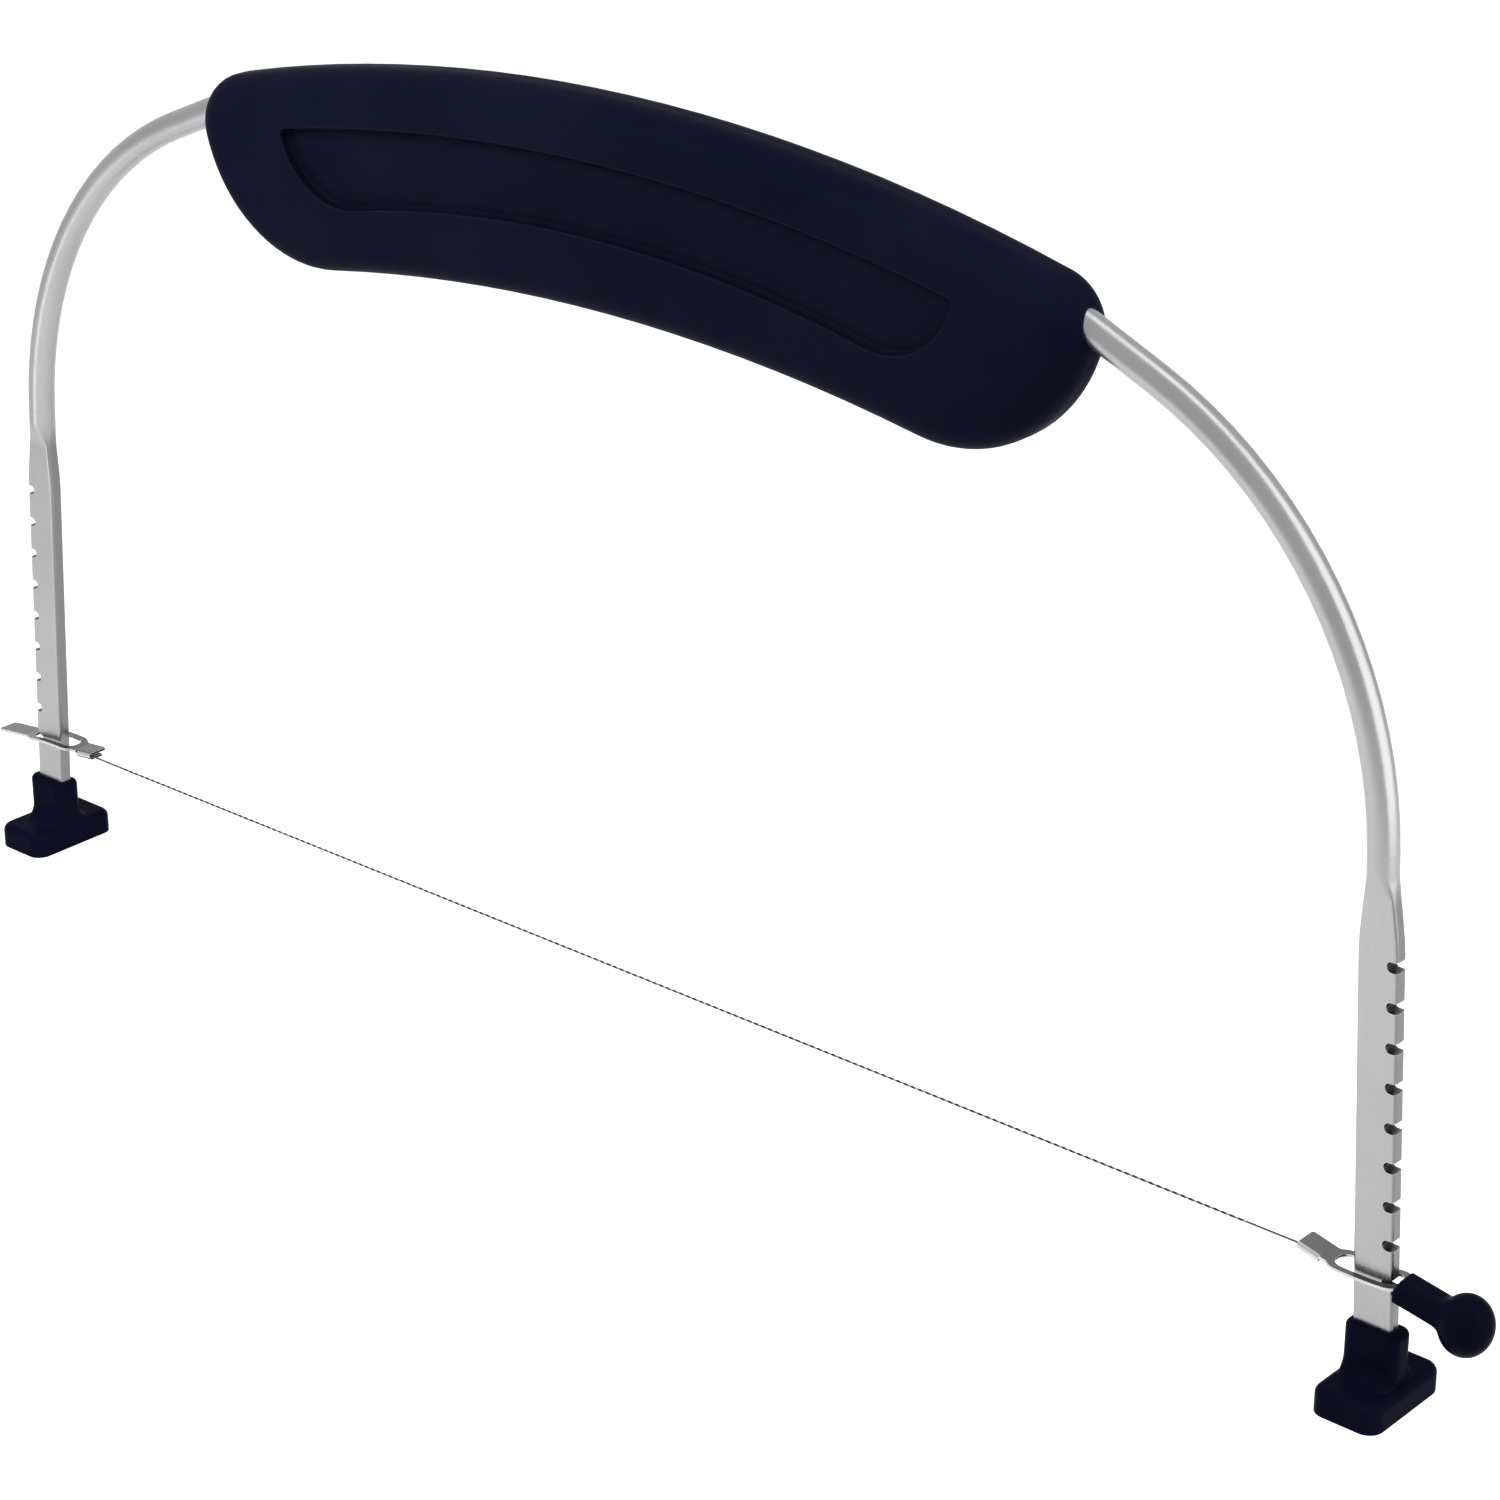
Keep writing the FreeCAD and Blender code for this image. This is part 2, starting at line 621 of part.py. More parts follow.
def main():
    """Build every piece, put the origin under the middle of the whole, and write the pieces."""
    bow = make_bow()
    front, rear = make_handle(bow)
    right_foot = make_foot(bow)
    clip = make_clip(right_bend)
    pieces = {
        "bow_frame": bow,
        "handle_front_shell": front,
        "handle_rear_shell": rear,
        "right_foot": right_foot,
        "left_foot": mirror_x(right_foot),
        "right_clip": moved(clip, right_bend.on_leg()),
        "left_clip": mirror_x(moved(make_clip(left_bend), left_bend.on_leg())),
        "cutting_wire": make_wire(),
        "knob": moved(make_knob(clip), right_bend.on_leg()),
    }
    left_end = pieces["left_clip"].optimalBoundingBox(False, False).XMin
    right_end = pieces["knob"].optimalBoundingBox(False, False).XMax
    middle = V(-(left_end + right_end) / 2, 0, 0)
    os.makedirs("parts", exist_ok=True)
    for name, shape in pieces.items():
        shape.translate(middle)
        shape.exportStep("parts/" + name + ".step")
        b = shape.BoundBox
        print(name, shape.isValid(), len(shape.Solids), round(shape.Volume, 1),
              [round(v, 2) for v in (b.XMin, b.XMax, b.YMin, b.YMax, b.ZMin, b.ZMax)])


main()
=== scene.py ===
"""Looks of a bow-shaped leveling tool: steel bow, moulded handle and feet, wire on two sliding clips."""
import logging
import math
from dataclasses import dataclass
from enum import Enum
from typing import Optional, Union

import bmesh
import bpy
from mathutils import Matrix, Vector


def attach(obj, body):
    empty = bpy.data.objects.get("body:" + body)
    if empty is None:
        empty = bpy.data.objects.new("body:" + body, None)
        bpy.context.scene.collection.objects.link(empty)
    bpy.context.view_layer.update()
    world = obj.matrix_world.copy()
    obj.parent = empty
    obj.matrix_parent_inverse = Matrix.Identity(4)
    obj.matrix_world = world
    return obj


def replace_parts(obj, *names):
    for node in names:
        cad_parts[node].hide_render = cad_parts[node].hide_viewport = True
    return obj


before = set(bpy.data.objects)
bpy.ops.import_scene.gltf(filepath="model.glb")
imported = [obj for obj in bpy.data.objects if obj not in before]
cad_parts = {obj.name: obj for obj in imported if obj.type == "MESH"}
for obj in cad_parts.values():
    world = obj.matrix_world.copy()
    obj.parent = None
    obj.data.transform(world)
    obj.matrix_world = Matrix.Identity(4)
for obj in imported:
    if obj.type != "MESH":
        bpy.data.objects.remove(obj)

LOG = logging.getLogger("leveler")
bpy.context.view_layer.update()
MM = 0.001

Colour = tuple[float, float, float]
Point = tuple[float, float, float]
Span = tuple[float, float]
Socket = bpy.types.NodeSocket
Sockets = bpy.types.bpy_prop_collection
Edges = list[bmesh.types.BMEdge]

# Ranges that the masks and noises are mapped from and to.
RISE: Span = (0.0, 1.0)
FALL: Span = (1.0, 0.0)
NOISE_CORE: Span = (0.3, 0.7)
NOISE_WIDE: Span = (0.25, 0.75)

# How far roughness wanders below and above a finish's own value, and the depth of its bump.
ROUGH_BELOW = 0.05
ROUGH_ABOVE = 0.06
BUMP_DEPTH = 0.1 * MM


class Body(Enum):
    """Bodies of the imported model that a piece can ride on."""

    FRAME = "frame"
    CARRIAGE = "wire_carriage"


class Slot(Enum):
    """Material slots of the record."""

    BOW = "bow_steel"
    CLIP = "clip_steel"
    WIRE = "wire_steel"
    HANDLE = "handle_plastic"
    FOOT = "foot_plastic"
    KNOB = "knob_plastic"


class Reading(Enum):
    """What a finish reads of a surface point, in the axes of its object."""

    PLACE = "Object"
    FACING = "Normal"


class End(Enum):
    """Ends of the wire, each with its sign along X."""

    LEFT = -1.0
    RIGHT = 1.0


class Wiring:
    """Adds and links the nodes of one node tree."""

    # A Mix node's colour inputs and its colour output, which share their names with others.
    MIX_COLOURS = (6, 7)
    MIX_RESULT = 2

    def __init__(self, tree: bpy.types.NodeTree) -> None:
        """Keep the tree and start it empty."""
        self.tree = tree
        self.tree.nodes.clear()

    def add(self, kind: str, values: Optional[dict] = None, **settings: object) -> bpy.types.Node:
        """Add one node.

        Args:
            kind: Blender's type name of the node.
            values: default values of its input sockets, by socket name.
            **settings: properties of the node itself.

        Returns:
            The new node.
        """
        node = self.tree.nodes.new(kind)
        for key, value in settings.items():
            setattr(node, key, value)
        for key, value in (values or {}).items():
            node.inputs[key].default_value = value
        return node

    def link(self, source: Socket, target: Socket) -> None:
        """Link an output socket to an input socket."""
        self.tree.links.new(source, target)

    def math(self, operation: str, first: Socket, second: Union[float, Socket, None] = None) -> Socket:
        """Put a value through one Math node.

        Args:
            operation: the node's operation.
            first: the socket that holds the first value.
            second: the second value, a number or a socket, where the operation has one.

        Returns:
            The node's output socket.
        """
        node = self.add("ShaderNodeMath", operation=operation)
        self.link(first, node.inputs[0])
        if isinstance(second, Socket):
            self.link(second, node.inputs[1])
        elif second is not None:
            node.inputs[1].default_value = second
        return node.outputs[0]

    def remap(self, value: Socket, given: Span, wanted: Span) -> Socket:
        """Map a range of values smoothly to another one.

        Args:
            value: the socket to map.
            given: lowest and highest value that come in.
            wanted: the values that these become.

        Returns:
            The mapped value's socket.
        """
        ends = {"From Min": given[0], "From Max": given[1], "To Min": wanted[0], "To Max": wanted[1]}
        node = self.add("ShaderNodeMapRange", ends, interpolation_type="SMOOTHSTEP")
        self.link(value, node.inputs["Value"])
        return node.outputs["Result"]

    def blend(self, share: Socket, low: Union[Colour, Socket], high: Union[Colour, Socket]) -> Socket:
        """Mix two colours by a mask.

        Args:
            share: the mask, 0 for the first colour and 1 for the second.
            low: the first colour, three numbers or a socket.
            high: the second colour, three numbers or a socket.

        Returns:
            The mixed colour's socket.
        """
        node = self.add("ShaderNodeMix", data_type="RGBA")
        self.link(share, node.inputs[0])
        for number, colour in zip(self.MIX_COLOURS, (low, high)):
            if isinstance(colour, Socket):
                self.link(colour, node.inputs[number])
            else:
                node.inputs[number].default_value = (*colour, 1.0)
        return node.outputs[self.MIX_RESULT]

    def read(self, what: Reading) -> Socket:
        """Return a surface point's place or facing."""
        return self.add("ShaderNodeTexCoord").outputs[what.value]

    def axes(self, what: Reading) -> tuple[Socket, Socket, Socket]:
        """Split a surface point's place or facing.

        Args:
            what: the place or the facing.

        Returns:
            Its X, Y and Z.
        """
        split = self.add("ShaderNodeSeparateXYZ")
        self.link(self.read(what), split.inputs[0])
        return split.outputs["X"], split.outputs["Y"], split.outputs["Z"]

    def noise(self, place: Socket, values: dict[str, float], scale: Optional[Socket] = None) -> Socket:
        """Add a noise.

        Args:
            place: where the noise is read.
            values: default values of its input sockets, by socket name.
            scale: the socket that gives its scale, where the values don't.

        Returns:
            The noise's value.
        """
        node = self.add("ShaderNodeTexNoise", values)
        self.link(place, node.inputs["Vector"])
        if scale is not None:
            self.link(scale, node.inputs["Scale"])
        return node.outputs["Fac"]


@dataclass
class SurfaceEffects:
    """Node groups that the finishes share, each built once."""

    # The wear noise breaks up the edge strip: wear on plastic, wear with a painted highlight on steel.
    wear_scale: float = 900.0
    wear_detail: float = 3.0
    wear_range: Span = (0.55, 1.25)
    wear_samples: int = 6
    grain_detail: float = 2.0
    cloud_detail: float = 5.0
    mould_roughness: float = 0.55
    speck_share: float = 0.12
    speck_range: Span = (0.02, 0.09)
    line_detail: float = 3.0
    smear_detail: float = 6.0
    line_roughness: float = 0.6
    recess_samples: int = 8
    recess_range: Span = (0.55, 0.92)

    def __post_init__(self) -> None:
        """Build the groups."""
        self.edges = self._edge_mask()
        self.grain = self._mould_grain()
        self.lines = self._drawn_lines()
        self.recess = self._recess_mask()

    @staticmethod
    def _start(name: str, inputs: tuple[str, ...], outputs: tuple[str, ...]) -> tuple[
            bpy.types.NodeTree, Wiring, Sockets, Sockets]:
        """Start a shader node group.

        Args:
            name: name of the group.
            inputs: names of its number inputs, which each material sets.
            outputs: names of its number outputs.

        Returns:
            The group's tree, its wiring, what its inputs give and the sockets of its outputs.
        """
        tree = bpy.data.node_groups.new(name, "ShaderNodeTree")
        for label in inputs:
            tree.interface.new_socket(label, in_out="INPUT", socket_type="NodeSocketFloat")
        for label in outputs:
            tree.interface.new_socket(label, in_out="OUTPUT", socket_type="NodeSocketFloat")
        wires = Wiring(tree)
        return tree, wires, wires.add("NodeGroupInput").outputs, wires.add("NodeGroupOutput").inputs

    def _edge_mask(self) -> bpy.types.NodeTree:
        """Build the group that finds the strip along sharp edges, broken up by noise.

        Returns:
            The group.
        """
        tree, wires, given, out = self._start("edge_mask", ("Radius", "Gain"), ("Mask",))
        bevel = wires.add("ShaderNodeBevel", samples=self.wear_samples)
        wires.link(given["Radius"], bevel.inputs["Radius"])
        surface = wires.add("ShaderNodeNewGeometry")
        turn = wires.add("ShaderNodeVectorMath", operation="DOT_PRODUCT")
        wires.link(bevel.outputs["Normal"], turn.inputs[0])
        wires.link(surface.outputs["Normal"], turn.inputs[1])
        bend = wires.math("ABSOLUTE", wires.math("SUBTRACT", turn.outputs["Value"], 1.0))
        strip = wires.math("MULTIPLY", bend, given["Gain"])
        wear = wires.noise(wires.read(Reading.PLACE), {"Scale": self.wear_scale, "Detail": self.wear_detail})
        broken = wires.math("MULTIPLY", strip, wires.remap(wear, NOISE_CORE, self.wear_range))
        wires.link(wires.math("MINIMUM", broken, 1.0), out["Mask"])
        return tree

    def _mould_grain(self) -> bpy.types.NodeTree:
        """Build the group of a moulded surface's fine grain and its broad, cloudy unevenness.

        Returns:
            The group.
        """
        tree, wires, given, out = self._start(
            "mould_grain", ("Grain", "Cloud"), ("Height", "Cloud", "Speck"))
        place = wires.read(Reading.PLACE)
        layers = (("Height", "Grain", self.grain_detail), ("Cloud", "Cloud", self.cloud_detail))
        for label, scale, detail in layers:
            values = {"Detail": detail, "Roughness": self.mould_roughness}
            wires.link(wires.noise(place, values, given[scale]), out[label])
        cells = wires.add("ShaderNodeTexVoronoi", {"Randomness": 1.0})
        wires.link(place, cells.inputs["Vector"])
        wires.link(wires.math("MULTIPLY", given["Grain"], self.speck_share), cells.inputs["Scale"])
        wires.link(wires.remap(cells.outputs["Distance"], self.speck_range, FALL), out["Speck"])
        return tree

    def _drawn_lines(self) -> bpy.types.NodeTree:
        """Build the group of the fine lines that drawing and pressing leave on steel, along its length.

        Returns:
            The group.
        """
        tree, wires, given, out = self._start(
            "drawn_lines", ("Across", "Along", "Smear"), ("Height", "Smear"))
        stretched = wires.add("ShaderNodeCombineXYZ")
        scales = (given["Across"], given["Across"], given["Along"])
        for number, (part, scale) in enumerate(zip(wires.axes(Reading.PLACE), scales)):
            wires.link(wires.math("MULTIPLY", part, scale), stretched.inputs[number])
        values = {"Scale": 1.0, "Detail": self.line_detail, "Roughness": self.line_roughness}
        wires.link(wires.noise(stretched.outputs[0], values), out["Height"])
        values = {"Detail": self.smear_detail, "Roughness": self.line_roughness}
        wires.link(wires.noise(wires.read(Reading.PLACE), values, given["Smear"]), out["Smear"])
        return tree

    def _recess_mask(self) -> bpy.types.NodeTree:
        """Build the group that finds inside corners, where shade is painted.

        Returns:
            The group.
        """
        tree, wires, given, out = self._start("recess_mask", ("Reach",), ("Mask",))
        hollow = wires.add("ShaderNodeAmbientOcclusion", samples=self.recess_samples, only_local=True)
        wires.link(given["Reach"], hollow.inputs["Distance"])
        wires.link(wires.remap(hollow.outputs["AO"], self.recess_range, FALL), out["Mask"])
        return tree


class Surface(Wiring):
    """A new material with one Principled shader, while it is wired up."""

    def __init__(self, name: str) -> None:
        """Start the material.

        Args:
            name: name of the material.
        """
        self.material = bpy.data.materials.new(name)
        self.material.use_nodes = True
        super().__init__(self.material.node_tree)
        self.shader = self.add("ShaderNodeBsdfPrincipled")
        output = self.add("ShaderNodeOutputMaterial")
        self.link(self.shader.outputs[0], output.inputs[0])

    def effect(self, group: bpy.types.NodeTree, **values: float) -> Sockets:
        """Place a shared node group with this material's values and return its outputs."""
        return self.add("ShaderNodeGroup", values, node_tree=group).outputs

    def uneven(self, noise: Socket, roughness: float) -> Socket:
        """Return a roughness that wanders about its middle value with a noise."""
        return self.remap(noise, NOISE_WIDE, (roughness - ROUGH_BELOW, roughness + ROUGH_ABOVE))

    def complete(self, colour: Socket, rough: Socket, height: Socket, strength: float) -> bpy.types.Material:
        """Feed the shader.

        Args:
            colour: the base colour.
            rough: the roughness.
            height: the height for the bump.
            strength: the bump's strength.

        Returns:
            The finished material.
        """
        bump = self.add("ShaderNodeBump", {"Strength": strength, "Distance": BUMP_DEPTH})
        self.link(height, bump.inputs["Height"])
        self.link(colour, self.shader.inputs["Base Color"])
        self.link(rough, self.shader.inputs["Roughness"])
        self.link(bump.outputs[0], self.shader.inputs["Normal"])
        return self.material


@dataclass(frozen=True)
class PlasticFinish:
    """Satin moulded plastic: fine grain, cloudy tone, slightly rubbed edges, painted shade in corners."""

    name: str
    deep: Colour
    pale: Colour
    rubbed: Colour
    shade: Colour
    roughness: float
    gloss: float
    grain: float = 2600.0
    cloud: float = 45.0
    bump: float = 0.08
    speck_rough: float = 0.08
    edge_radius: float = 0.0005
    edge_gain: float = 5.0
    edge_polish: float = 0.08
    recess_reach: float = 0.002
    recess_share: float = 0.7
    seam: float = 0.0
    seam_core: float = 0.4
    seam_share: float = 0.8
    seam_depth: float = 2.5

    def make(self, effects: SurfaceEffects) -> bpy.types.Material:
        """Make the material.

        Args:
            effects: the shared node groups.

        Returns:
            The material.
        """
        wires = Surface(self.name)
        wires.shader.inputs["Specular IOR Level"].default_value = self.gloss
        grain = wires.effect(effects.grain, Grain=self.grain, Cloud=self.cloud)
        edges = wires.effect(effects.edges, Radius=self.edge_radius, Gain=self.edge_gain)["Mask"]
        recess = wires.effect(effects.recess, Reach=self.recess_reach)["Mask"]
        colour = wires.blend(wires.remap(grain["Cloud"], NOISE_CORE, RISE), self.deep, self.pale)
        # Painted shade: inside corners darken towards the shade colour by the recess mask.
        colour = wires.blend(wires.math("MULTIPLY", recess, self.recess_share), colour, self.shade)
        colour = wires.blend(edges, colour, self.rubbed)
        height = grain["Height"]
        if self.seam > 0:
            line = self._seam_line(wires)
            colour = wires.blend(wires.math("MULTIPLY", line, self.seam_share), colour, self.shade)
            height = wires.math("SUBTRACT", height, wires.math("MULTIPLY", line, self.seam_depth))
        rough = wires.uneven(grain["Cloud"], self.roughness)
        rough = wires.math("ADD", rough, wires.math("MULTIPLY", grain["Speck"], self.speck_rough))
        rough = wires.math("SUBTRACT", rough, wires.math("MULTIPLY", edges, self.edge_polish))
        return wires.complete(colour, rough, height, self.bump)

    def _seam_line(self, wires: Surface) -> Socket:
        """Find the hairline where the two halves meet.

        Args:
            wires: the material's wiring.

        Returns:
            The line's mask.
        """
        _, away, _ = wires.axes(Reading.PLACE)
        return wires.remap(wires.math("ABSOLUTE", away), (self.seam_core * self.seam, self.seam), FALL)


@dataclass(frozen=True)
class SteelFinish:
    """Plated steel with fine lines, smeary gloss, worn edges with a painted highlight, and painted shade."""

    name: str
    deep: Colour
    pale: Colour
    # Colour of the steel's edges: wear with a painted highlight.
    worn_edge_highlight: Colour
    # Colour of the shade painted into inside corners and notches.
    recess_shade: Colour
    roughness: float
    along: float = 60.0
    across: float = 4200.0
    smear: float = 35.0
    line_rough: Span = (-0.03, 0.03)
    bump: float = 0.05
    edge_radius: float = 0.00025
    edge_gain: float = 4.0
    edge_polish: float = 0.1
    recess_reach: float = 0.0025
    # Colour of the shade painted on the pressed legs' narrow sides, below side_top.
    side: Optional[Colour] = None
    side_top: float = 0.0
    side_fade: float = 0.006
    side_turn: Span = (0.35, 0.70)
    # Colours of the painted shade on a stamped sheet's walls and undersides, and of the painted highlight on
    # its front hems.
    wall_shade: Optional[Colour] = None
    fold_highlight: Colour = (0.5, 0.5, 0.5)
    middle: float = 0.0
    hem_end: float = 0.0
    hem_fade: float = 0.0008
    ring_share: float = 0.55
    wall_turn: Span = (0.55, 0.80)
    under_turn: Span = (-0.55, -0.25)
    fold_turn: Span = (0.25, 0.60)

    def make(self, effects: SurfaceEffects) -> bpy.types.Material:
        """Make the material.

        Args:
            effects: the shared node groups.

        Returns:
            The material.
        """
        wires = Surface(self.name)
        wires.shader.inputs["Metallic"].default_value = 1.0
        lines = wires.effect(effects.lines, Across=self.across, Along=self.along, Smear=self.smear)
        edges = wires.effect(effects.edges, Radius=self.edge_radius, Gain=self.edge_gain)["Mask"]
        recess = wires.effect(effects.recess, Reach=self.recess_reach)["Mask"]
        colour = wires.blend(wires.remap(lines["Smear"], NOISE_CORE, RISE), self.deep, self.pale)
        if self.side:
            # Painted shade: the legs' narrow sides take the darker side colour.
            colour = wires.blend(self._shaded_sides(wires), colour, self.side)
        # Painted shade on the sheet's walls and undersides, and painted highlight on its front hems and
        # rims.
        if self.wall_shade:
            shaded_walls, fold_highlights = self._shaded_walls_and_lit_folds(wires)
            colour = wires.blend(fold_highlights, wires.blend(shaded_walls, colour, self.wall_shade), self.fold_highlight)
        # Worn edges, lightened further as a painted highlight.
        colour = wires.blend(edges, colour, self.worn_edge_highlight)
        # Painted shade: inside corners and notches darken by the recess mask.
        colour = wires.blend(recess, colour, self.recess_shade)
        rough = wires.uneven(lines["Smear"], self.roughness)
        rough = wires.math("ADD", rough, wires.remap(lines["Height"], NOISE_CORE, self.line_rough))
        rough = wires.math("SUBTRACT", rough, wires.math("MULTIPLY", edges, self.edge_polish))
        return wires.complete(colour, rough, lines["Height"], self.bump)

    def _shaded_sides(self, wires: Surface) -> Socket:
        """Find the pressed legs' narrow sides, which get painted shade.

        Args:
            wires: the material's wiring.

        Returns:
            The sides' mask.
        """
        facing, _, _ = wires.axes(Reading.FACING)
        sideways = wires.remap(wires.math("ABSOLUTE", facing), self.side_turn, RISE)
        _, _, height = wires.axes(Reading.PLACE)
        low = wires.remap(height, (self.side_top - self.side_fade, self.side_top), FALL)
        return wires.math("MULTIPLY", sideways, low)

    def _shaded_walls_and_lit_folds(self, wires: Surface) -> tuple[Socket, Socket]:
        """Find where shade is painted on a sheet's walls and undersides, and highlight on its front hems and
        rims.

        Args:
            wires: the material's wiring.

        Returns:
            Masks of the painted shade on walls and undersides and of the painted highlight on hems and rims.
        """
        facing_x, facing_y, facing_z = wires.axes(Reading.FACING)
        place_x, _, _ = wires.axes(Reading.PLACE)
        from_middle = wires.math("ABSOLUTE", wires.math("SUBTRACT", place_x, self.middle))
        off_hem = wires.remap(from_middle, (self.hem_end, self.hem_end + self.hem_fade), RISE)
        across = wires.math("MULTIPLY", wires.math("ABSOLUTE", facing_y), off_hem)
        wall = wires.math("MAXIMUM", wires.math("ABSOLUTE", facing_x), across)
        under = wires.remap(facing_z, self.under_turn, FALL)
        shaded_walls = wires.math("MAXIMUM", wires.remap(wall, self.wall_turn, RISE), under)
        shown = wires.math("SUBTRACT", wires.remap(off_hem, RISE, (1.0, self.ring_share)), under)
        fold_highlight = wires.math("MULTIPLY", wires.math("MULTIPLY", facing_y, -1.0), shown)
        return shaded_walls, wires.remap(fold_highlight, self.fold_turn, RISE)


def dress_nodes(nodes: tuple[str, ...], material: bpy.types.Material, body: Body, slot: Slot) -> None:
    """Give carried-over solids their finish.

    Args:
        nodes: names of the solids' nodes.
        material: the finish.
        body: the body that carries them.
        slot: the record's material slot.
    """
    for node in nodes:
        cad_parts[node].material_slots[0].material = material
        LOG.info("dressed %s on %s, slot %s, with %s", node, body.value, slot.value, material.name)


def settle(name: str, mesh: bmesh.types.BMesh, body: Body, slot: Slot) -> bpy.types.Object:
    """Turn a finished mesh into an object that rides on a body.

    Args:
        name: name of the piece.
        mesh: its mesh, in place, which is freed.
        body: the body that carries it.
        slot: the record's material slot.

    Returns:
        The new object.
    """
    data = bpy.data.meshes.new(name)
    mesh.to_mesh(data)
    mesh.free()
    piece = bpy.data.objects.new(name, data)
    bpy.context.scene.collection.objects.link(piece)
    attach(piece, body.value)
    LOG.info("built %s: %d faces on %s, slot %s", name, len(data.polygons), body.value, slot.value)
    return piece


@dataclass
class BowFrame:
    """The bent rod with its flattened, notched legs."""

    finish: SteelFinish
    nodes: tuple[str, ...] = ("bow_frame",)

    def dress(self, effects: SurfaceEffects) -> None:
        """Give the rod its plated steel."""
        dress_nodes(self.nodes, self.finish.make(effects), Body.FRAME, Slot.BOW)


@dataclass
class Handle:
    """The two moulded shells round the rod."""

    finish: PlasticFinish
    nodes: tuple[str, ...] = ("handle_front_shell", "handle_rear_shell")

    def dress(self, effects: SurfaceEffects) -> None:
        """Give both shells one moulded plastic."""
        dress_nodes(self.nodes, self.finish.make(effects), Body.FRAME, Slot.HANDLE)


@dataclass
class Feet:
    """The two moulded feet on the ends of the legs."""

    finish: PlasticFinish
    nodes: tuple[str, ...] = ("left_foot", "right_foot")

    def dress(self, effects: SurfaceEffects) -> None:
        """Give both feet one moulded plastic."""
        dress_nodes(self.nodes, self.finish.make(effects), Body.FRAME, Slot.FOOT)


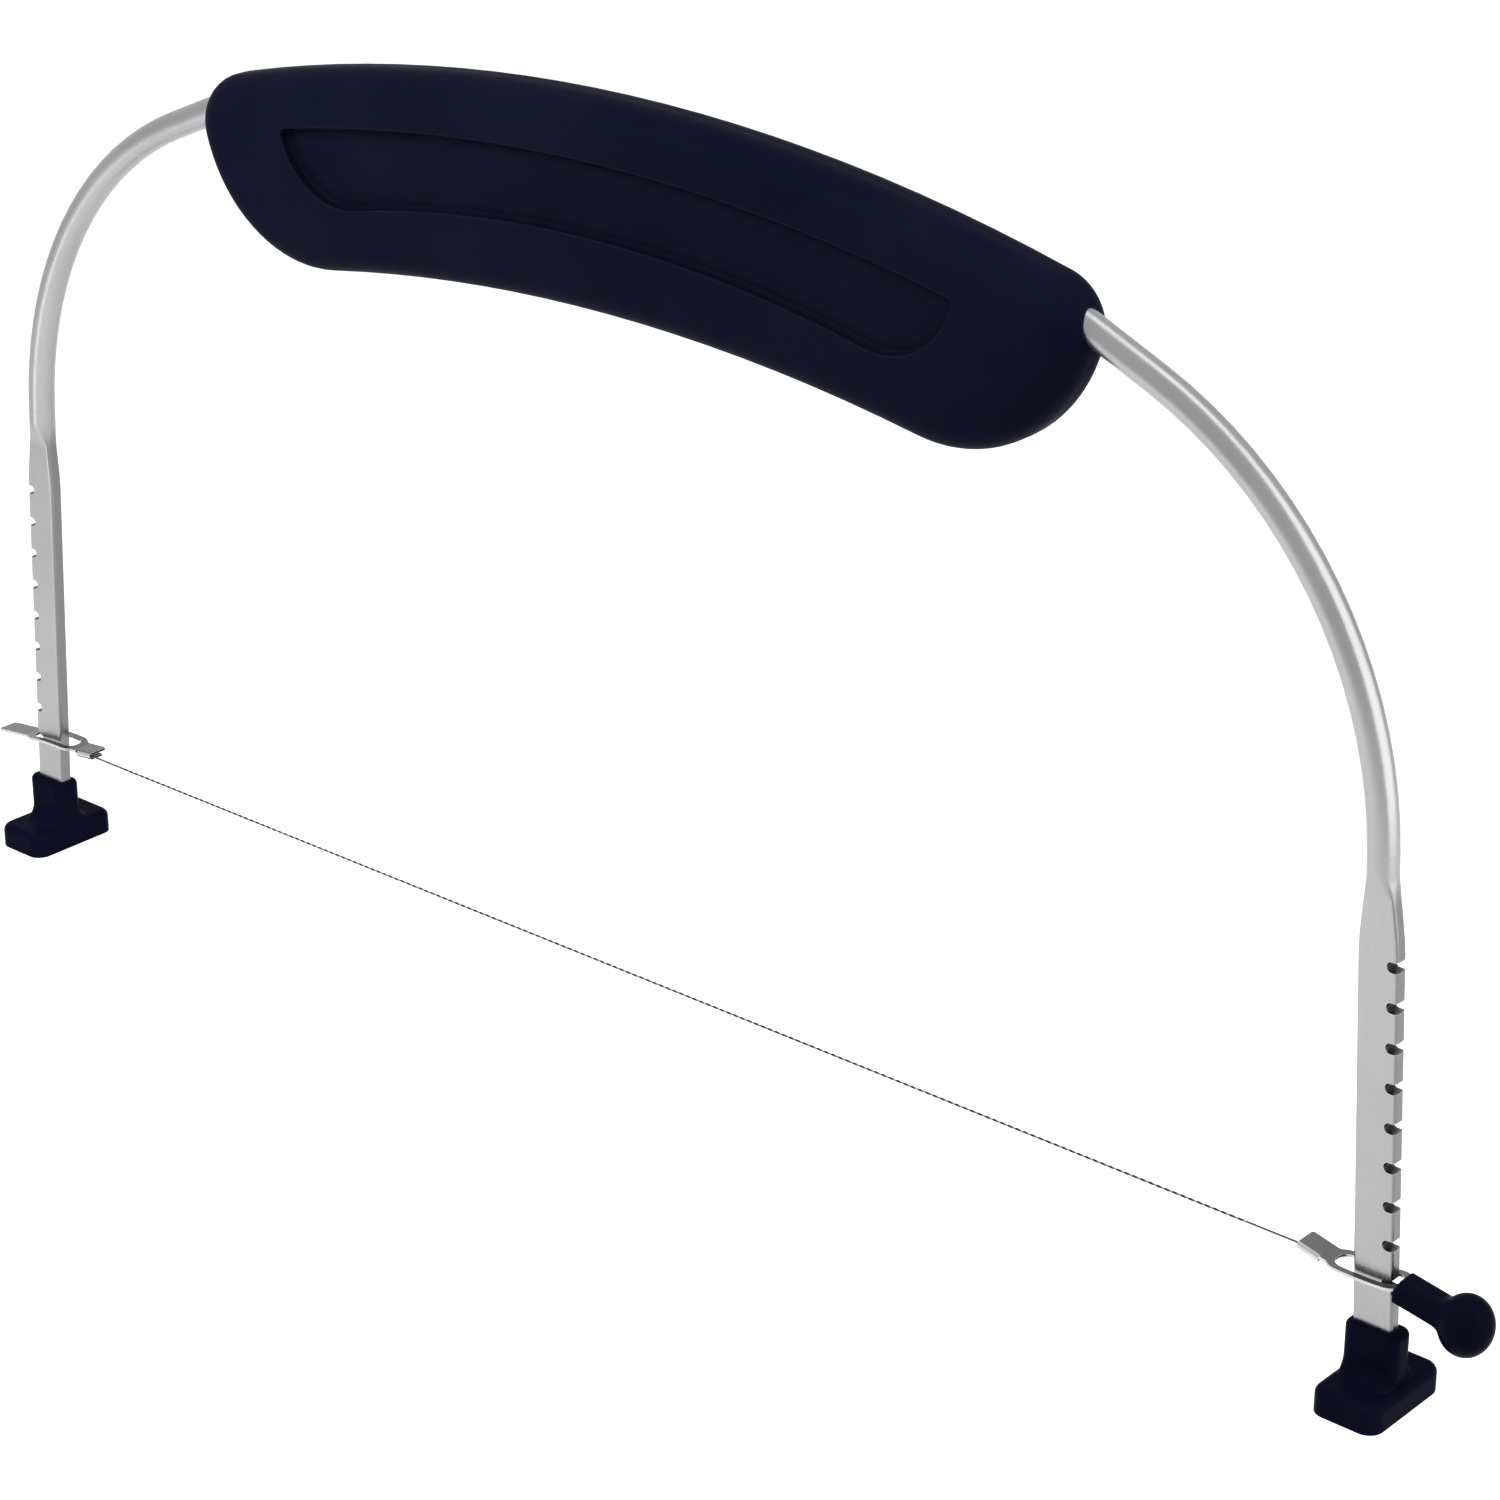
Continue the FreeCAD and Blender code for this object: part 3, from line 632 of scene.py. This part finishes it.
@dataclass
class TwistedWire:
    """The flat wire, twisted between plain ends that bend into the hems of the clips."""

    # Two copies of one steel: dark on the wide faces as a painted dark reflection, lighter on the narrow
    # edges as painted light.
    dark_reflection_finish: SteelFinish
    lit_edge_finish: SteelFinish
    width: float = 0.40 * MM
    thick: float = 0.22 * MM
    corner: float = 0.06 * MM
    corner_steps: int = 2
    left_corner: tuple[float, float] = (-138.66 * MM, 21.44 * MM)
    right_corner: tuple[float, float] = (132.56 * MM, 21.99 * MM)
    left_dip: float = math.radians(6.0)
    right_dip: float = math.radians(13.8)
    axis_y: float = -1.45 * MM
    plain_run: float = 9.0 * MM
    pitch: float = 1.5 * MM
    steps: int = 10
    bend_r: float = 3.0 * MM
    bend_steps: int = 4
    grip: float = 4.0 * MM
    face_share: float = 0.7
    merge: float = 1e-7
    crease: float = math.radians(50.0)

    def build(self, effects: SurfaceEffects) -> bpy.types.Object:
        """Build the wire in place of the plain one.

        Args:
            effects: the shared node groups.

        Returns:
            The wire's object.
        """
        mesh = bmesh.new()
        left = Vector((self.left_corner[0], self.axis_y, self.left_corner[1]))
        right = Vector((self.right_corner[0], self.axis_y, self.right_corner[1]))
        slope = math.atan2(right.z - left.z, right.x - left.x)
        reach = (right - left).length / 2 - self.plain_run
        turns = round(2 * reach / self.pitch)
        count = turns * self.steps
        step = 2 * reach / count
        start = Vector((-reach, 0, 0))
        first = self._profile(mesh, start)
        spun = bmesh.ops.spin(
            mesh, geom=first, cent=start, axis=(1, 0, 0), dvec=(step, 0, 0), angle=turns * math.pi,
            steps=count)
        wide = self.face_share * (self.width - 2 * self.corner) * step
        # Wide faces take the dark copy, a painted dark reflection; narrow edges take the lighter copy,
        # painted light.
        for face in mesh.faces:
            face.material_index = int(face.calc_area() < wide)
        self._end(mesh, first, End.LEFT, self.left_dip + slope)
        self._end(mesh, self._edges(spun["geom_last"]), End.RIGHT, self.right_dip - slope)
        place = Matrix.Translation((left + right) / 2) @ Matrix.Rotation(-slope, 4, "Y")
        bmesh.ops.transform(mesh, matrix=place, verts=mesh.verts)
        bmesh.ops.remove_doubles(mesh, verts=mesh.verts, dist=self.merge)
        bmesh.ops.recalc_face_normals(mesh, faces=mesh.faces)
        for face in mesh.faces:
            face.smooth = True
        piece = settle("twisted_wire", mesh, Body.CARRIAGE, Slot.WIRE)
        piece.data.set_sharp_from_angle(angle=self.crease)
        piece.data.materials.append(self.dark_reflection_finish.make(effects))
        piece.data.materials.append(self.lit_edge_finish.make(effects))
        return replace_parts(piece, "cutting_wire")

    @staticmethod
    def _edges(parts: list) -> Edges:
        """Return the edges among an operator's results."""
        return [part for part in parts if isinstance(part, bmesh.types.BMEdge)]

    def _profile(self, mesh: bmesh.types.BMesh, start: Vector) -> Edges:
        """Make the wire's rounded flat section, across the X axis.

        Args:
            mesh: the mesh to start.
            start: the section's middle.

        Returns:
            The section's edges.
        """
        across = Matrix.Translation(start) @ Matrix.Rotation(math.pi / 2, 4, "Y")
        shape = across @ Matrix.Diagonal((self.thick, self.width, 1.0, 1.0))
        bmesh.ops.create_grid(mesh, x_segments=1, y_segments=1, size=0.5, matrix=shape)
        bmesh.ops.bevel(
            mesh, geom=mesh.verts[:], offset=self.corner, offset_type="OFFSET", affect="VERTICES",
            segments=self.corner_steps, profile=0.5, material=-1)
        bmesh.ops.delete(mesh, geom=mesh.faces[:], context="FACES_ONLY")
        return mesh.edges[:]

    def _end(self, mesh: bmesh.types.BMesh, loop: Edges, end: End, dip: float) -> None:
        """Add a plain run, its bend and its gripped end to one end of the twist.

        Args:
            mesh: the wire's mesh.
            loop: the edges at that end.
            end: which end it is.
            dip: how far the end bends down into its hem, in radians.
        """
        side = end.value
        run = self.plain_run - self.bend_r * math.tan(dip / 2)
        loop = self._extend(mesh, loop, Vector((side * run, 0, 0)))
        bend_x = sum(vert.co.x for edge in loop for vert in edge.verts) / (2 * len(loop))
        spun = bmesh.ops.spin(
            mesh, geom=loop, cent=(bend_x, 0, -self.bend_r), axis=(0, 1, 0), angle=side * dip,
            steps=self.bend_steps)
        down = Vector((side * math.cos(dip), 0, -math.sin(dip)))
        loop = self._extend(mesh, self._edges(spun["geom_last"]), down * self.grip)
        bmesh.ops.edgeloop_fill(mesh, edges=loop)

    def _extend(self, mesh: bmesh.types.BMesh, loop: Edges, way: Vector) -> Edges:
        """Extrude a loop of edges straight on.

        Args:
            mesh: the mesh that holds the loop.
            loop: the edges.
            way: how far and where to.

        Returns:
            The edges of the new end.
        """
        grown = bmesh.ops.extrude_edge_only(mesh, edges=loop)["geom"]
        points = [part for part in grown if isinstance(part, bmesh.types.BMVert)]
        bmesh.ops.translate(mesh, verts=points, vec=way)
        ends = set(points)
        return [edge for edge in self._edges(grown) if ends.issuperset(edge.verts)]


@dataclass
class WireCarriage:
    """The two stamped clips, the wire between them and the knob."""

    clip_finish: SteelFinish
    knob_finish: PlasticFinish
    wire: TwistedWire
    clips: tuple[str, ...] = ("left_clip", "right_clip")
    knobs: tuple[str, ...] = ("knob",)

    def build(self, effects: SurfaceEffects) -> None:
        """Dress the clips and the knob, and build the wire.

        Args:
            effects: the shared node groups.
        """
        dress_nodes(self.clips, self.clip_finish.make(effects), Body.CARRIAGE, Slot.CLIP)
        dress_nodes(self.knobs, self.knob_finish.make(effects), Body.CARRIAGE, Slot.KNOB)
        self.wire.build(effects)


@dataclass(frozen=True)
class Lamp:
    """One soft rectangular studio lamp that faces a point and may stay out of reflections."""

    name: str
    place: Point
    size: tuple[float, float]
    watts: float
    aim: Point
    mirrored: bool = True

    def build(self) -> None:
        """Hang the lamp."""
        data = bpy.data.lights.new(self.name, "AREA")
        data.shape = "RECTANGLE"
        data.size, data.size_y = self.size
        data.energy = self.watts
        lamp = bpy.data.objects.new(self.name, data)
        lamp.location = self.place
        way = Vector(self.aim) - Vector(self.place)
        lamp.rotation_euler = way.to_track_quat("-Z", "Y").to_euler()
        lamp.visible_camera = False
        lamp.visible_glossy = self.mirrored
        bpy.context.scene.collection.objects.link(lamp)


@dataclass
class Studio:
    """White floor, even light and the camera."""

    floor_tone: float = 0.80
    floor_lift: float = 0.74
    sky_light: float = 0.31
    floor_size: float = 14.0
    azimuth: float = math.radians(41.058)
    elevation: float = math.radians(23.881)
    distance: float = 0.65136
    lens: float = 97.977
    sensor: float = 36.0
    nearest: float = 0.01
    target: Point = (0.023969, 0.0, 0.069572)
    # The upright steel mirrors the floor, and the upper rod the panels beside and above it.
    lamps: tuple[Lamp, ...] = (
        Lamp("front_lamp", (-0.05, -0.20, 0.30), (0.44, 0.16), 1.12, (-0.05, -0.16, 0.0), mirrored=False),
        Lamp("left_strip", (-0.24, -0.29, 0.30), (0.07, 0.64), 0.27, (-0.088, 0.152, 0.485)),
        Lamp("right_panel", (0.45, 0.08, 0.45), (0.38, 0.90), 2.15, (0.0, 0.08, 0.45)),
        Lamp("roof_panel", (0.22, 0.07, 0.95), (0.46, 0.38), 1.20, (0.22, 0.06, 0.0)),
    )

    def build(self) -> None:
        """Build floor, world, lamps and camera, and set plain colour management."""
        self._floor()
        self._world()
        for lamp in self.lamps:
            lamp.build()
        self._camera()
        bpy.context.scene.view_settings.view_transform = "Standard"

    @staticmethod
    def _seen(wires: Wiring) -> Socket:
        """Find the rays that show the background: camera, glossy and transmission rays.

        Args:
            wires: the wiring of the floor's or the world's tree.

        Returns:
            The rays' mask.
        """
        path = wires.add("ShaderNodeLightPath")
        seen = wires.math("MAXIMUM", path.outputs["Is Camera Ray"], path.outputs["Is Glossy Ray"])
        return wires.math("MAXIMUM", seen, path.outputs["Is Transmission Ray"])

    def _floor(self) -> None:
        """Lay the pale floor, which keeps the object's shadow."""
        mesh = bmesh.new()
        bmesh.ops.create_grid(mesh, x_segments=1, y_segments=1, size=self.floor_size / 2)
        data = bpy.data.meshes.new("floor")
        mesh.to_mesh(data)
        mesh.free()
        floor = bpy.data.objects.new("floor", data)
        bpy.context.scene.collection.objects.link(floor)
        material = bpy.data.materials.new("pale_floor")
        material.use_nodes = True
        wires = Wiring(material.node_tree)
        paint = wires.add("ShaderNodeBsdfDiffuse", {"Color": (self.floor_tone,) * 3 + (1.0,)})
        glow = wires.add("ShaderNodeEmission")
        wires.link(wires.math("MULTIPLY", self._seen(wires), self.floor_lift), glow.inputs["Strength"])
        both = wires.add("ShaderNodeAddShader")
        wires.link(paint.outputs[0], both.inputs[0])
        wires.link(glow.outputs[0], both.inputs[1])
        wires.link(both.outputs[0], wires.add("ShaderNodeOutputMaterial").inputs[0])
        data.materials.append(material)

    def _world(self) -> None:
        """Make the world: white where it shows, softer as light."""
        world = bpy.data.worlds.new("white_studio")
        world.use_nodes = True
        bpy.context.scene.world = world
        wires = Wiring(world.node_tree)
        sky = wires.add("ShaderNodeBackground", {"Color": (1.0, 1.0, 1.0, 1.0)})
        wires.link(wires.remap(self._seen(wires), RISE, (self.sky_light, 1.0)), sky.inputs["Strength"])
        wires.link(sky.outputs[0], wires.add("ShaderNodeOutputWorld").inputs[0])

    def _camera(self) -> None:
        """Place the camera at the photograph's viewing angle."""
        data = bpy.data.cameras.new("camera")
        data.lens = self.lens
        data.sensor_width = self.sensor
        data.clip_start = self.nearest
        camera = bpy.data.objects.new("camera", data)
        flat = math.cos(self.elevation)
        ahead = Vector((
            -math.sin(self.azimuth) * flat, math.cos(self.azimuth) * flat, -math.sin(self.elevation)))
        camera.location = Vector(self.target) - ahead * self.distance
        camera.rotation_euler = (math.pi / 2 - self.elevation, 0.0, self.azimuth)
        bpy.context.scene.collection.objects.link(camera)
        bpy.context.scene.camera = camera


NAVY = PlasticFinish(
    "navy_handle_plastic", deep=(0.0036, 0.0045, 0.0140), pale=(0.0050, 0.0060, 0.0165),
    rubbed=(0.0100, 0.0115, 0.0270), shade=(0.0014, 0.0018, 0.0060),
    roughness=0.46, gloss=0.006, seam=0.00012)
FOOT_NAVY = PlasticFinish(
    "navy_foot_plastic", deep=(0.0029, 0.0033, 0.0126), pale=(0.0040, 0.0045, 0.0156),
    rubbed=(0.0110, 0.0125, 0.0290), shade=(0.0010, 0.0012, 0.0045), roughness=0.36, gloss=0.006)
KNOB_NAVY = PlasticFinish(
    "navy_knob_plastic", deep=(0.0026, 0.0031, 0.0105), pale=(0.0034, 0.0041, 0.0130),
    rubbed=(0.0100, 0.0115, 0.0270), shade=(0.0010, 0.0012, 0.0045), roughness=0.36, gloss=0.007)
# Its side colour is painted shade on the pressed legs' narrow sides.
BOW_STEEL = SteelFinish(
    "plated_bow_steel", deep=(0.285, 0.286, 0.291), pale=(0.318, 0.319, 0.325),
    worn_edge_highlight=(0.48, 0.48, 0.485), recess_shade=(0.010, 0.010, 0.012),
    roughness=0.29, side=(0.172, 0.173, 0.177), side_top=0.086)
CLIP_STEEL = SteelFinish(
    "stamped_clip_steel", deep=(0.115, 0.115, 0.118), pale=(0.170, 0.170, 0.174),
    worn_edge_highlight=(0.85, 0.85, 0.85), recess_shade=(0.02, 0.02, 0.022),
    roughness=0.28, along=900.0, across=900.0, edge_radius=0.00010, recess_reach=0.0008,
    wall_shade=(0.022, 0.022, 0.024), fold_highlight=(0.46, 0.46, 0.465), middle=-0.002966, hem_end=0.1398)
# Dark and light copies of the wire's steel: painted dark reflection on its faces, painted light on its
# edges.
WIRE_FACE_DARK_REFLECTION = SteelFinish(
    "wire_face_painted_dark_reflection", deep=(0.014, 0.014, 0.016), pale=(0.028, 0.028, 0.030),
    worn_edge_highlight=(0.12, 0.12, 0.12), recess_shade=(0.05, 0.05, 0.05),
    roughness=0.3, edge_radius=0.00003, recess_reach=0.0002)
WIRE_EDGE_LIT = SteelFinish(
    "wire_edge_painted_lit", deep=(0.15, 0.15, 0.154), pale=(0.22, 0.22, 0.225),
    worn_edge_highlight=(0.34, 0.34, 0.34), recess_shade=(0.2, 0.2, 0.2),
    roughness=0.22, edge_radius=0.00003, recess_reach=0.0002)


def main() -> None:
    """Build and dress every sub-assembly, then set the studio."""
    logging.basicConfig(level=logging.INFO, format="%(name)s: %(message)s")
    effects = SurfaceEffects()
    BowFrame(BOW_STEEL).dress(effects)
    Handle(NAVY).dress(effects)
    Feet(FOOT_NAVY).dress(effects)
    WireCarriage(CLIP_STEEL, KNOB_NAVY, TwistedWire(WIRE_FACE_DARK_REFLECTION, WIRE_EDGE_LIT)).build(effects)
    Studio().build()


if __name__ == "__main__":
    main()
